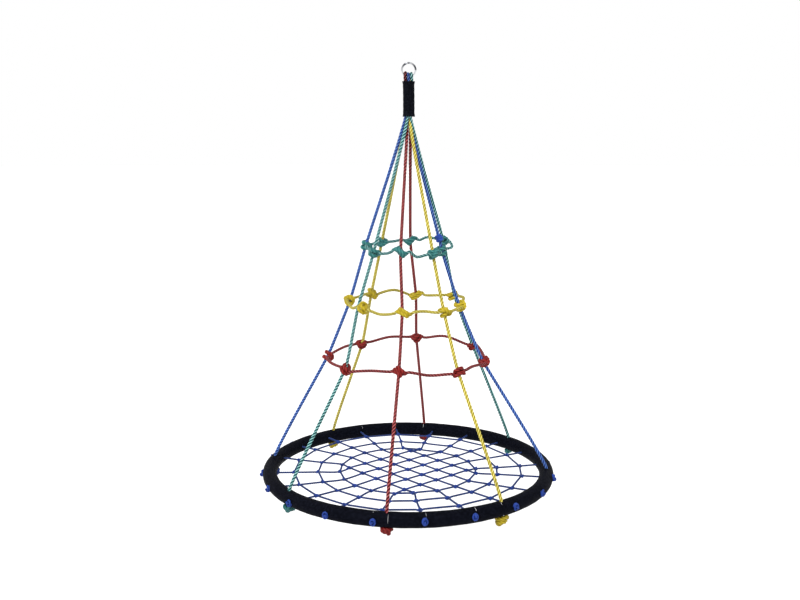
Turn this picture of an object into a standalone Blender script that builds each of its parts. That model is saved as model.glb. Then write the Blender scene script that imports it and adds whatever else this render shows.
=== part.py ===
"""Nest swing: a padded steel hoop with a rope net, hung on a cone of eight rope legs from one steel ring.

Metres, +Z up. The origin is the hanging point: the inside top of the steel ring, where a hook bears.
The steel ring lies in the XZ plane, so the front of the swing faces -Y. Azimuths are measured from the
front (-Y) towards +X.
"""
import math

import bmesh
import bpy
from mathutils import Matrix, Vector

# ---------------------------------------------------------------- driving dimensions
GAP = 0.0003                     # air between touching pieces

WIRE_RADIUS = 0.003              # steel ring: 6 mm bar
RING_RADIUS = 0.0225             # centre line of the bar, 51 mm outside diameter
BIGHT_RADIUS = 0.0043            # a rope squeezed between its neighbours on the ring
ROPE_RADIUS = 0.0047             # suspension rope
HOOP_RADIUS = 0.0038             # hoop rope
NET_RADIUS = 0.00275             # net rope

SLEEVE_TOP = -0.0560
SLEEVE_BOTTOM = -0.1690
SLEEVE_WALL = 0.0012
HEM_RISE = 0.0006                # a turned hem stands this far proud of the sleeve
HEM_DEPTH = 0.007
HEM_SLOPE = 0.002
ROPE_CUT = -0.1120               # height in the sleeve where bights end and legs begin

# The four bights lie side by side on the ring's lower arc. Each route gives (x, z above the ring's
# centre) of its highest point, (x, y, z) of the shoulder beside the bar, and (x, y) in the sleeve.
BIGHT_INNER = ((0.00446, -0.0142), (0.0046, 0.0086, -0.0215), (0.0047, 0.0115))
BIGHT_OUTER = ((0.01174, -0.00917), (0.0134, 0.0080, -0.0190), (0.0115, 0.0048))
BIGHT_NECK_LENGTH = 0.004        # a bight straightens over this length below the sleeve's top
BIGHTS = (("red", BIGHT_OUTER, -1), ("blue", BIGHT_INNER, -1),
          ("yellow", BIGHT_INNER, 1), ("teal", BIGHT_OUTER, 1))

FRAME_DROP = 1.372               # hanging point to the frame's middle plane
FRAME_RADIUS = 0.477             # centre line of the frame tube
COVER_RADIUS = 0.0230            # padded section, 46 mm, so 1.0 m over the cover
COVER_WALL = 0.0010
TUBE_RADIUS = 0.0125             # 25 mm steel tube
TUBE_WALL = 0.0015
FRAME_STEPS = 40                 # segments round the frame

LEG_COUNT = 8
LEG_AZIMUTH = -7.5               # first leg
LEG_LANDING = (0.004, 0.022)     # a leg arrives this far inside the tube's centre line, above the cover
LEG_UPRIGHT = 0.008              # and stands upright over its hole from this height above the cover
STOPPER_STEPS = (                # drop below the frame's middle plane, factor on the rope's radius
    (0.0, 1.0), (0.0233, 1.0), (0.0237, 2.2), (0.0290, 3.2), (0.0370, 3.3), (0.0430, 2.3), (0.0445, 1.0))

KNOT_RADIUS = 0.0125             # hoop knot, a barrel round the leg
KNOT_HALF = 0.0095               # half its height
KNOT_ROUNDING = 0.0035
KNOT_REACH = 0.013               # a leg is straight this far above and below a knot's centre

NET_AZIMUTH = -12.0              # first net hole in the frame
NET_HOLES = 20
NET_STEP = 0.0725                # spacing of the net's square grid
NET_RING_RADII = (0.238, 0.313, 0.396)
NET_SAG = 0.008                  # how far the middle of the net hangs below the frame's plane
NET_NUMBERS = range(-2, 3)       # five ropes each way, numbered from the middle one
NET_CROSSING = 0.006             # a net ring is level this far each side of a crossing
NET_KNOT = (                     # distance beyond the cover, factor on the rope's radius
    (0.0003, 1.0), (0.0007, 2.0), (0.0045, 2.5), (0.0105, 2.3), (0.0135, 1.0))

FRAME_Z = -FRAME_DROP
INNER_WALL = FRAME_RADIUS - COVER_RADIUS
OUTER_WALL = FRAME_RADIUS + COVER_RADIUS
RING_Z = -(RING_RADIUS - WIRE_RADIUS)
NECK_Z = RING_Z - RING_RADIUS - WIRE_RADIUS - 0.004   # the bundle flexes just under the ring
LEG_STEP = 360 / LEG_COUNT
LEG_HOLE_RADIUS = ROPE_RADIUS + GAP
LEG_CIRCLE = (ROPE_RADIUS + GAP / 2) / math.sin(math.pi / LEG_COUNT)   # legs side by side in the sleeve
NET_HOLE_STEP = 360 / NET_HOLES
NET_HOLE_RADIUS = NET_RADIUS + GAP
NET_LAYER = NET_RADIUS + 0.0002  # warp ropes lie this far above the net's plane, weft ropes below
WARP_AZIMUTH = NET_AZIMUTH + 3 * NET_HOLE_STEP   # the weft runs at right angles to it

WELD = 0.00001                   # points closer than this are one point

# place and colour of each leg, counter-clockwise from the front as seen from above
LEGS = (
    ("red_front", "red"),
    ("yellow_front", "yellow"),
    ("blue_right", "blue"),
    ("teal_back", "teal"),
    ("red_back", "red"),
    ("yellow_back", "yellow"),
    ("blue_left", "blue"),
    ("teal_front", "teal"),
)

# Each hoop is knotted by hand, so its eight knots aren't quite even. For each leg, in millimetres:
# distance from the plumb line, step sideways along the hoop, rise above the hoop's height.
HOOPS = {
    "hoop_teal_top": {
        "colour": "teal",
        "z": -0.600,
        "knots": ((143, -6, -1), (139, -6, -10), (114, -4, -9), (148, -3, 14),
                  (142, 12, 9), (146, 5, 6), (145, 0, 4), (144, 0, -10)),
        "bulge": (2, 0, 34, 4, 0, 0, 0, 2),
        "sag": (13, 0, 6, -11, -1, 0, 3, -4),
    },
    "hoop_yellow_middle": {
        "colour": "yellow",
        "z": -0.789,
        "knots": ((193, 6, -2), (193, -2, -6), (174, -3, -7), (205, 0, 3),
                  (193, -1, -3), (202, 11, 8), (201, 1, 4), (200, -8, 4)),
        "bulge": (2, 2, 24, 2, 2, 2, 8, 2),
        "sag": (-4, 6, -10, -1, -9, -2, 4, 14),
    },
    "hoop_red_lower": {
        "colour": "red",
        "z": -0.976,
        "knots": ((265, 6, 9), (267, -2, -3), (257, -3, -9), (286, -8, 2),
                  (270, 6, 12), (271, 5, 0), (280, 4, -4), (263, 5, -5)),
        "bulge": (3, 4, 17, 4, 3, 4, 17, 4),
        "sag": (11, -1, 0, -15, -14, -9, 2, 1),
    },
}

COLOURS = {
    "red": (0.33, 0.035, 0.025),
    "blue": (0.03, 0.09, 0.38),
    "yellow": (0.62, 0.47, 0.04),
    "teal": (0.02, 0.20, 0.19),
    "net_blue": (0.03, 0.06, 0.30),
    "black": (0.012, 0.013, 0.018),
    "foam": (0.25, 0.25, 0.26),
    "steel": (0.60, 0.61, 0.62),
}


# ---------------------------------------------------------------- helpers
def clear_scene():
    for obj in list(bpy.data.objects):
        bpy.data.objects.remove(obj, do_unlink=True)


def collection(name):
    made = bpy.data.collections.new(name)
    bpy.context.scene.collection.children.link(made)
    return made


def material(name, roughness=0.8, metallic=0.0):
    made = bpy.data.materials.get(name)
    if made:
        return made
    made = bpy.data.materials.new(name)
    made.use_nodes = True
    shader = made.node_tree.nodes["Principled BSDF"]
    shader.inputs["Base Color"].default_value = (*COLOURS[name], 1.0)
    shader.inputs["Roughness"].default_value = roughness
    shader.inputs["Metallic"].default_value = metallic
    return made


def around(radius, azimuth_deg, z):
    """Point at this distance from the plumb line; azimuth 0 is the front, 90 the right."""
    angle = math.radians(azimuth_deg)
    return Vector((radius * math.sin(angle), -radius * math.cos(angle), z))


def rope_curve(name, points, radius, sides=8, closed=False, swell=None):
    """Rope as a round tube through the points. swell gives a factor on the radius for each point."""
    curve = bpy.data.curves.new(name, "CURVE")
    curve.dimensions = "3D"
    curve.bevel_depth = radius
    curve.bevel_resolution = sides // 2 - 2
    curve.use_fill_caps = not closed
    spline = curve.splines.new("POLY")
    spline.points.add(len(points) - 1)
    spline.use_cyclic_u = closed
    for index, point in enumerate(points):
        spline.points[index].co = (*point, 1.0)
        spline.points[index].radius = swell[index] if swell else 1.0
    return bpy.data.objects.new(name, curve)


def as_mesh(obj, holder):
    """Replace a curve object by a closed mesh object with the same name."""
    holder.objects.link(obj)
    bpy.context.view_layer.update()
    depsgraph = bpy.context.evaluated_depsgraph_get()
    mesh = bpy.data.meshes.new_from_object(obj.evaluated_get(depsgraph))
    name = obj.name
    matrix = obj.matrix_world.copy()
    bpy.data.objects.remove(obj, do_unlink=True)
    work = bmesh.new()
    work.from_mesh(mesh)
    bmesh.ops.remove_doubles(work, verts=work.verts, dist=WELD)
    bmesh.ops.recalc_face_normals(work, faces=work.faces)
    work.to_mesh(mesh)
    work.free()
    made = bpy.data.objects.new(name, mesh)
    made.matrix_world = matrix
    holder.objects.link(made)
    return made


def mesh_object(name, work):
    mesh = bpy.data.meshes.new(name)
    bmesh.ops.recalc_face_normals(work, faces=work.faces)
    work.to_mesh(mesh)
    work.free()
    return bpy.data.objects.new(name, mesh)


def smooth(point_list, steps, closed=False):
    """Points of a Catmull-Rom curve through point_list, with steps points on each stretch."""
    count = len(point_list)
    stretches = count if closed else count - 1
    result = []
    for index in range(stretches):
        if closed:
            p0, p1, p2, p3 = (point_list[(index + shift) % count] for shift in (-1, 0, 1, 2))
        else:
            p1 = point_list[index]
            p2 = point_list[index + 1]
            p0 = point_list[index - 1] if index > 0 else p1 * 2 - p2
            p3 = point_list[index + 2] if index + 2 < count else p2 * 2 - p1
        for step in range(steps):
            t = step / steps
            result.append(0.5 * (2 * p1 + (p2 - p0) * t + (2 * p0 - 5 * p1 + 4 * p2 - p3) * t * t
                                 + (3 * p1 - p0 - 3 * p2 + p3) * t ** 3))
    if not closed:
        result.append(point_list[-1])
    return result


def boolean(obj, other, operation):
    modifier = obj.modifiers.new(operation.title(), "BOOLEAN")
    modifier.operation = operation
    modifier.solver = "EXACT"
    modifier.object = other


def hide_cutter(obj, cutters):
    cutters.objects.link(obj)
    obj.hide_render = True
    obj.display_type = "WIRE"


def finish(obj, colour, parent, parts, roughness=0.8, metallic=0.0):
    """Give a node its material, its smooth shading, its collection and its parent."""
    if obj.name not in parts.objects:
        parts.objects.link(obj)
    obj.data.materials.clear()
    obj.data.materials.append(material(colour, roughness, metallic))
    if obj.type == "MESH":
        obj.data.shade_smooth()
        obj.data.set_sharp_from_angle(angle=math.radians(40))
    put_under(obj, parent)


def put_under(obj, parent):
    """Parent obj and leave it where it is."""
    bpy.context.view_layer.update()
    obj.parent = parent
    obj.matrix_parent_inverse = parent.matrix_world.inverted()


def axis_empty(name, location, parent, parts):
    """Empty on a joint's axis."""
    made = bpy.data.objects.new(name, None)
    made.empty_display_size = 0.05
    made.location = location
    parts.objects.link(made)
    if parent:
        put_under(made, parent)
    return made


# ---------------------------------------------------------------- top ring, bights, sleeve
def build_top_ring(parent, parts):
    bpy.ops.mesh.primitive_torus_add(
        major_radius=RING_RADIUS, minor_radius=WIRE_RADIUS, major_segments=32, minor_segments=8,
        location=(0.0, 0.0, RING_Z), rotation=(math.radians(90), 0.0, 0.0))
    ring = bpy.context.object
    for holder in list(ring.users_collection):
        holder.objects.unlink(ring)
    ring.name = "top_ring"
    finish(ring, "steel", parent, parts, roughness=0.12, metallic=1.0)


def build_bights(parent, parts):
    """Four ropes side by side over the ring's lower arc; their ends go down into the sleeve."""
    for colour, route, side in BIGHTS:
        (top_x, top_z), (shoulder_x, shoulder_y, shoulder_z), (neck_x, neck_y) = route
        arch = []
        for step in range(-4, 5):
            turn = math.pi / 8 * step
            x = shoulder_x + (top_x - shoulder_x) * math.cos(turn)
            z = RING_Z + shoulder_z + (top_z - shoulder_z) * math.cos(turn)
            arch.append(Vector((side * x, shoulder_y * math.sin(turn), z)))
        ends = []
        for front in (-1, 1):
            heights = (ROPE_CUT, SLEEVE_TOP - BIGHT_NECK_LENGTH, SLEEVE_TOP)
            ends.append([Vector((side * neck_x, front * neck_y, z)) for z in heights])
        points = ends[0] + arch + ends[1][::-1]
        rope = as_mesh(rope_curve("bight_" + colour, points, BIGHT_RADIUS), parts)
        finish(rope, colour, parent, parts)


def build_sleeve(parent, parts):
    """Turned tube, open at both ends, a little wider at its mouths where the hem is turned over."""
    inside = LEG_CIRCLE + ROPE_RADIUS + 2 * GAP
    outside = inside + SLEEVE_WALL
    hem = outside + HEM_RISE
    reach = HEM_DEPTH + HEM_SLOPE
    profile = ((inside, SLEEVE_TOP), (hem, SLEEVE_TOP), (hem, SLEEVE_TOP - HEM_DEPTH),
               (outside, SLEEVE_TOP - reach), (outside, SLEEVE_BOTTOM + reach),
               (hem, SLEEVE_BOTTOM + HEM_DEPTH), (hem, SLEEVE_BOTTOM), (inside, SLEEVE_BOTTOM))
    work = bmesh.new()
    corners = [work.verts.new((radius, 0.0, z)) for radius, z in profile]
    edges = [work.edges.new((corners[i], corners[(i + 1) % len(corners)])) for i in range(len(corners))]
    bmesh.ops.spin(work, geom=corners + edges, cent=(0, 0, 0), axis=(0, 0, 1), angle=math.tau,
                   steps=18, use_merge=True)
    bmesh.ops.remove_doubles(work, verts=work.verts, dist=WELD)
    finish(mesh_object("bundle_sleeve", work), "black", parent, parts)


# ---------------------------------------------------------------- rope cone
def leg_azimuth(leg):
    return LEG_AZIMUTH + leg * LEG_STEP


def knot_point(hoop, leg):
    """Centre of the knot of this hoop on this leg."""
    out, side, rise = (value / 1000 for value in hoop["knots"][leg])
    azimuth = leg_azimuth(leg) + math.degrees(side / out)
    return around(out, azimuth, hoop["z"] + rise)


def leg_nodes(leg):
    """The bends of a leg from the sleeve down to the frame."""
    inset, height = LEG_LANDING
    mouth = around(LEG_CIRCLE, leg_azimuth(leg), SLEEVE_BOTTOM)
    knots = [knot_point(hoop, leg) for hoop in HOOPS.values()]
    landing = around(FRAME_RADIUS - inset, leg_azimuth(leg), FRAME_Z + COVER_RADIUS + height)
    return [mouth, *knots, landing]


def knot_axes(leg):
    """Centre and direction of the leg at each of its three knots."""
    nodes = leg_nodes(leg)
    axes = []
    for index in (1, 2, 3):
        down = (nodes[index + 1] - nodes[index - 1]).normalized()
        axes.append((nodes[index], down))
    return axes


def leg_route(leg):
    azimuth = leg_azimuth(leg)
    nodes = leg_nodes(leg)
    in_sleeve = around(LEG_CIRCLE, azimuth, ROPE_CUT - 2 * GAP)
    points = [in_sleeve, nodes[0]]
    for centre, down in knot_axes(leg):
        points.append(centre - down * KNOT_REACH)
        points.append(centre + down * KNOT_REACH)
    points.append(nodes[4])
    points.append(around(FRAME_RADIUS, azimuth, FRAME_Z + COVER_RADIUS + LEG_UPRIGHT))
    points.append(around(FRAME_RADIUS, azimuth, FRAME_Z))
    return points


def build_legs(parent, parts):
    for leg, (place, colour) in enumerate(LEGS):
        rope = as_mesh(rope_curve("leg_" + place, leg_route(leg), ROPE_RADIUS), parts)
        finish(rope, colour, parent, parts)


def cylinder(work, centre, direction, radius, half_length, sides):
    """Add a capped prism to work, its flats at this radius from the axis."""
    reach = radius / math.cos(math.pi / sides)
    turn = direction.to_track_quat("Z", "Y").to_matrix().to_4x4()
    bmesh.ops.create_cone(work, cap_ends=True, cap_tris=False, segments=sides, radius1=reach,
                          radius2=reach, depth=2 * half_length,
                          matrix=Matrix.Translation(centre) @ turn)


def hoop_route(hoop):
    """Through the knots' centres, with each stretch between two knots bulged out and sagging a little."""
    points = []
    for leg in range(LEG_COUNT):
        here = knot_point(hoop, leg)
        there = knot_point(hoop, (leg + 1) % LEG_COUNT)
        middle = (here + there) / 2
        outward = Vector((middle.x, middle.y, 0.0)).normalized()
        middle += outward * (hoop["bulge"][leg] / 1000)
        middle.z -= hoop["sag"][leg] / 1000
        points += [here, middle]
    return smooth(points, 3, closed=True)


def knot_barrels(name, hoop_index):
    """One solid lump for each knot, a short barrel round the leg."""
    work = bmesh.new()
    for leg in range(LEG_COUNT):
        centre, down = knot_axes(leg)[hoop_index]
        made = bmesh.new()
        cylinder(made, centre, down, KNOT_RADIUS, KNOT_HALF, 8)
        caps = [face for face in made.faces if len(face.verts) == 8]
        rims = [edge for face in caps for edge in face.edges]
        bmesh.ops.bevel(made, geom=rims, offset=KNOT_ROUNDING, segments=1, affect="EDGES", profile=0.5)
        lump = bpy.data.meshes.new("lump")
        made.to_mesh(lump)
        made.free()
        work.from_mesh(lump)
        bpy.data.meshes.remove(lump)
    return mesh_object(name, work)


def build_hoops(parents, parts, cutters):
    for index, (name, hoop) in enumerate(HOOPS.items()):
        rope = as_mesh(rope_curve(name, hoop_route(hoop), HOOP_RADIUS, 6, closed=True), parts)
        lumps = knot_barrels(name + "_knots", index)
        hide_cutter(lumps, cutters)
        work = bmesh.new()
        for leg in range(LEG_COUNT):
            centre, down = knot_axes(leg)[index]
            cylinder(work, centre, down, LEG_HOLE_RADIUS, KNOT_REACH, 8)
        holes = mesh_object(name + "_holes", work)
        hide_cutter(holes, cutters)
        boolean(rope, lumps, "UNION")
        boolean(rope, holes, "DIFFERENCE")
        finish(rope, hoop["colour"], parents[name], parts)


# ---------------------------------------------------------------- frame
def torus(work, flat_radius, inward=False, sides=8):
    """Ring of round section round the frame's centre line, with a flat on its top and on each side."""
    reach = flat_radius / math.cos(math.pi / sides)
    quarter_step = 90 / FRAME_STEPS   # so that no rope hole falls on an edge between two segments
    start = Matrix.Rotation(math.radians(NET_AZIMUTH + quarter_step), 4, "Z")
    made = bmesh.new()
    section = []
    for index in range(sides):
        angle = math.tau * (index + 0.5) / sides
        point = Vector((FRAME_RADIUS + reach * math.cos(angle), 0.0, FRAME_Z + reach * math.sin(angle)))
        section.append(made.verts.new(start @ point))
    edges = [made.edges.new((section[i], section[(i + 1) % sides])) for i in range(sides)]
    bmesh.ops.spin(made, geom=section + edges, cent=(0, 0, 0), axis=(0, 0, 1), angle=math.tau,
                   steps=FRAME_STEPS, use_merge=True)
    bmesh.ops.remove_doubles(made, verts=made.verts, dist=WELD)
    bmesh.ops.recalc_face_normals(made, faces=made.faces)
    if inward:
        bmesh.ops.reverse_faces(made, faces=made.faces)
    mesh = bpy.data.meshes.new("shell")
    made.to_mesh(mesh)
    made.free()
    work.from_mesh(mesh)
    bpy.data.meshes.remove(mesh)


def rope_holes(name, cutters):
    """Eight upright holes for the legs and twenty radial ones for the net ropes."""
    half_length = 1.5 * COVER_RADIUS
    work = bmesh.new()
    for leg in range(LEG_COUNT):
        centre = around(FRAME_RADIUS, leg_azimuth(leg), FRAME_Z)
        cylinder(work, centre, Vector((0, 0, 1)), LEG_HOLE_RADIUS, half_length, 6)
    for hole in range(NET_HOLES):
        azimuth = NET_AZIMUTH + hole * NET_HOLE_STEP
        layer = NET_LAYER if hole_is_warp(hole) else -NET_LAYER
        centre = around(FRAME_RADIUS, azimuth, FRAME_Z + layer)
        cylinder(work, centre, around(1, azimuth, 0), NET_HOLE_RADIUS, half_length, 4)
    made = mesh_object(name, work)
    hide_cutter(made, cutters)
    return made


def build_frame(parent, parts, cutters):
    holes = rope_holes("rope_holes", cutters)
    shells = (
        ("frame_tube", TUBE_RADIUS, TUBE_RADIUS - TUBE_WALL, "steel"),
        ("frame_foam", COVER_RADIUS - COVER_WALL - GAP, TUBE_RADIUS + GAP, "foam"),
        ("frame_cover", COVER_RADIUS, COVER_RADIUS - COVER_WALL, "black"),
    )
    for name, outside, inside, colour in shells:
        work = bmesh.new()
        torus(work, outside)
        torus(work, inside, inward=True)
        mesh = bpy.data.meshes.new(name)
        work.to_mesh(mesh)
        work.free()
        shell = bpy.data.objects.new(name, mesh)
        boolean(shell, holes, "DIFFERENCE")
        finish(shell, colour, parent, parts)


def build_stoppers(parent, parts):
    """Leg's end: straight through the frame's lower half, then the knot under the cover."""
    swell = [factor for _, factor in STOPPER_STEPS]
    for leg, (place, colour) in enumerate(LEGS):
        points = [around(FRAME_RADIUS, leg_azimuth(leg), FRAME_Z - GAP - drop)
                  for drop, _ in STOPPER_STEPS]
        rope = rope_curve("stopper_" + place, points, ROPE_RADIUS, swell=swell)
        finish(as_mesh(rope, parts), colour, parent, parts)


# ---------------------------------------------------------------- net
def hole_is_warp(hole):
    """Five holes of warp, five of weft, and again; holes 1 to 5 and 11 to 15 are warp."""
    return (hole - 1) % 10 < 5


def net_z(radius):
    return FRAME_Z - NET_SAG * max(0.0, 1 - (radius / INNER_WALL) ** 2)


def radial_azimuth(number, radius):
    """Azimuth, from its family's own direction, of a net rope at this radius outside the inner ring."""
    start = math.degrees(math.asin(number * NET_STEP / NET_RING_RADII[0]))
    end = number * NET_HOLE_STEP
    share = (radius - NET_RING_RADII[0]) / (INNER_WALL - NET_RING_RADII[0])
    return start + (end - start) * min(1.0, share)


def net_rope_route(number, family_azimuth, layer):
    """Outside knot, frame, rings, five crossings of the grid, rings, frame, outside knot."""
    outward = [(radius, radial_azimuth(number, radius)) for radius in (*NET_RING_RADII, INNER_WALL)]
    outward += [(OUTER_WALL + beyond, number * NET_HOLE_STEP) for beyond, _ in NET_KNOT]
    along = around(1, family_azimuth, 0)
    across = around(1, family_azimuth + 90, 0)
    grid = []
    for crossing in NET_NUMBERS:
        point = along * (crossing * NET_STEP) + across * (number * NET_STEP)
        point.z = net_z(math.hypot(point.x, point.y)) + layer
        grid.append(point)
    head = [around(r, family_azimuth + turn, net_z(r) + layer) for r, turn in outward]
    tail = [around(r, family_azimuth + 180 - turn, net_z(r) + layer) for r, turn in outward]
    return tail[::-1] + grid + head


def build_net(parent, parts):
    knot = tuple(factor for _, factor in NET_KNOT)
    between = (1.0,) * (2 * len(NET_RING_RADII) + 2 + len(NET_NUMBERS))
    swell = knot[::-1] + between + knot
    families = (("warp", WARP_AZIMUTH, NET_LAYER), ("weft", WARP_AZIMUTH + 90, -NET_LAYER))
    for family, azimuth, layer in families:
        for index, number in enumerate(NET_NUMBERS):
            points = net_rope_route(number, azimuth, layer)
            rope = rope_curve(f"net_{family}_{index + 1}", points, NET_RADIUS, 6, swell=swell)
            finish(as_mesh(rope, parts), "net_blue", parent, parts)
    names = ("net_ring_inner", "net_ring_middle", "net_ring_outer")
    for name, radius in zip(names, NET_RING_RADII):
        rope = rope_curve(name, net_ring_route(radius), NET_RADIUS, 6, closed=True)
        finish(as_mesh(rope, parts), "net_blue", parent, parts)


def net_ring_route(radius):
    """Under every warp rope and over every weft rope, level where it crosses them."""
    points = []
    half_crossing = math.degrees(NET_CROSSING / radius)
    for side in range(4):
        layer = -NET_LAYER if side % 2 == 0 else NET_LAYER
        for number in NET_NUMBERS:
            azimuth = WARP_AZIMUTH + 90 * side + radial_azimuth(number, radius)
            for shift in (-half_crossing, half_crossing):
                points.append(around(radius, azimuth + shift, net_z(radius) + layer))
    return points


# ---------------------------------------------------------------- assembly
def main():
    clear_scene()
    parts = collection("nest_swing")
    cutters = collection("cutters")

    held = axis_empty("hanging_point", (0.0, 0.0, 0.0), None, parts)
    roll = axis_empty("axis_ring_roll", (0.0, 0.0, RING_Z), held, parts)
    neck = axis_empty("axis_fore_aft_swing", (0.0, 0.0, NECK_Z), roll, parts)
    turn = axis_empty("axis_spin", (0.0, 0.0, SLEEVE_BOTTOM), neck, parts)
    lift = axis_empty("axis_collapse", (0.0, 0.0, FRAME_Z), turn, parts)
    hoop_lifts = {name: axis_empty("axis_" + name, (0.0, 0.0, hoop["z"]), turn, parts)
                  for name, hoop in HOOPS.items()}

    build_top_ring(held, parts)
    build_bights(roll, parts)
    build_sleeve(neck, parts)
    build_legs(turn, parts)
    build_hoops(hoop_lifts, parts, cutters)
    build_frame(lift, parts, cutters)
    build_stoppers(lift, parts)
    build_net(lift, parts)


main()
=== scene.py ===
"""Look of the nest swing: laid ropes and their hitches, stopper knots, net, padded cover, sleeve and ring.

Metres, +Z up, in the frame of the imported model: the origin is the hanging point and the front is -Y.
"""
import math

import bpy
import numpy as np
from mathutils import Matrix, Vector


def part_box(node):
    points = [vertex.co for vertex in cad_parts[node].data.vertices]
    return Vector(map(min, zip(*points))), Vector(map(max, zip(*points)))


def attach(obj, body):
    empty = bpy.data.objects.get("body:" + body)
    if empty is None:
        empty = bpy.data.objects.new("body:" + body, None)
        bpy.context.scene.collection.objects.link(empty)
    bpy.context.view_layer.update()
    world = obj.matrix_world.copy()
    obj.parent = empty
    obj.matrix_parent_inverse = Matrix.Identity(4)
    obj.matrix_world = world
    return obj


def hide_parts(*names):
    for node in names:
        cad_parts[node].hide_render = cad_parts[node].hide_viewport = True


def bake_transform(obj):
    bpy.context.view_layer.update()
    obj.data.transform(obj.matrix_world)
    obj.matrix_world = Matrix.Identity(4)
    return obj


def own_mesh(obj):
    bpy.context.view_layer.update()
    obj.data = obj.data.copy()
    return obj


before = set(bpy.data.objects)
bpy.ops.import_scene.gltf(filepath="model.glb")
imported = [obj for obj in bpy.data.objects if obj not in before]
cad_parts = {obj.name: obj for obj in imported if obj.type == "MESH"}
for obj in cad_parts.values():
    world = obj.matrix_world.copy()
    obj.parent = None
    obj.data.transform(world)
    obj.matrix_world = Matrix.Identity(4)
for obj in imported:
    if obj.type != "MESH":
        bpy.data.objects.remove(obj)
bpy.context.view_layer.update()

# ---------- sizes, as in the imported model
def heights(node):
    """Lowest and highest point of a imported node."""
    return [corner.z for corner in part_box(node)]


WIRE_RADIUS = 0.003
RING_RADIUS = 0.0225
RING_Z = sum(heights("top_ring")) / 2
SLEEVE_BOTTOM, SLEEVE_TOP = heights("bundle_sleeve")
ROPE_CUT = -0.112  # the bights end here, inside the sleeve
LEG_TOP = -0.1175  # and the legs begin just under them
LEG_MIDDLE = -0.143  # a leg is upright down to here

SLEEVE_RADIUS = 0.0186
BIGHT_RADIUS = 0.0052
ROPE_RADIUS = 0.0047
NET_RADIUS = 0.00275
LEG_CREST = 0.0058  # radius over the strands' crests
HOOP_CREST = 0.0053
NET_CREST = 0.0035
LEG_LAY = 0.036  # length of rope in which a strand goes once round
HOOP_LAY = 0.032
NET_LAY = 0.020
CAP_RISE = 0.35  # height of the low cone that closes a rope's end, in rope radii

BIGHT_SPACING = 0.0012  # distance between the rings of points along each rope
LEG_SPACING = 0.0019
HOOP_SPACING = 0.0018
STOPPER_SPACING = 0.0015
NET_SPACING = 0.0017

FRAME_Z = sum(heights("frame_cover")) / 2
FRAME_RADIUS = 0.477
COVER_RADIUS = 0.0244
FOAM_INSET = 0.0012  # cover's thickness
INNER_WALL = FRAME_RADIUS - COVER_RADIUS
OUTER_WALL = FRAME_RADIUS + COVER_RADIUS

LEG_COUNT = 8
LEG_AZIMUTH = -7.5  # first leg
LEG_STEP = 360 / LEG_COUNT
LEG_CIRCLE = (ROPE_RADIUS + 0.00015) / math.sin(math.pi / LEG_COUNT)
LEG_LANDING = (0.004, 0.022)  # a leg arrives this far inside the tube's centre line, above the cover
KNOT_REACH = 0.013  # a leg is straight this far above and below a knot
LEG_DRAWN = 0.76  # share of its full size that a leg has in the sleeve
LEG_FREED = 0.05  # and it is full again this far below

NET_AZIMUTH = -12.0  # first net hole in the frame
NET_HOLES = 20
NET_HOLE_STEP = 360 / NET_HOLES
NET_STEP = 0.0725  # spacing of the net's square grid
NET_RING_RADII = (0.238, 0.313, 0.396)
NET_SAG = 0.008  # how far the middle of the net hangs below the frame's plane
NET_NUMBERS = range(-2, 3)  # five ropes each way, numbered from the middle one
NET_LAYER = NET_RADIUS + 0.0002
WARP_AZIMUTH = NET_AZIMUTH + 3 * NET_HOLE_STEP
NET_WIDEST = 99  # azimuth of the net holes beside the frame's widest points

# For each bight in millimetres: colour, (x, z from the ring's centre) where it lies on the ring's wire,
# its shoulders (x, half depth, z from the ring's centre), where it enters the sleeve (x, half depth), a
# step back, and how far its front half is drawn (right, back).
BIGHTS = (
    ("red", (-11.2, -8.4), (-12.4, 8.6, -18.5), (-11.2, 5.6), -0.3, (0.0, 0.0)),
    ("blue", (-3.6, -12.0), (-3.9, 9.4, -20.5), (-3.6, 11.0), -0.8, (3.4, -0.8)),
    ("yellow", (3.2, -13.2), (3.0, 7.2, -21.5), (4.4, 8.6), 2.6, (-0.8, 4.2)),
    ("teal", (7.8, -11.2), (8.6, 9.2, -19.5), (9.8, 6.2), -0.8, (0.6, -0.4)),
)

# place, colour, and (right, back) in millimetres where each leg leaves the sleeve
LEGS = (
    ("red_front", "red", (-3.1, 10.8)),
    ("yellow_front", "yellow", (1.8, -3.4)),
    ("blue_right", "blue", (2.2, 5.4)),
    ("teal_back", "teal", (6.3, -10.1)),
    ("red_back", "red", (5.8, 10.4)),
    ("yellow_back", "yellow", (-11.0, 4.6)),
    ("blue_left", "blue", (-10.8, -5.0)),
    ("teal_front", "teal", (-2.8, -11.6)),
)

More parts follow.
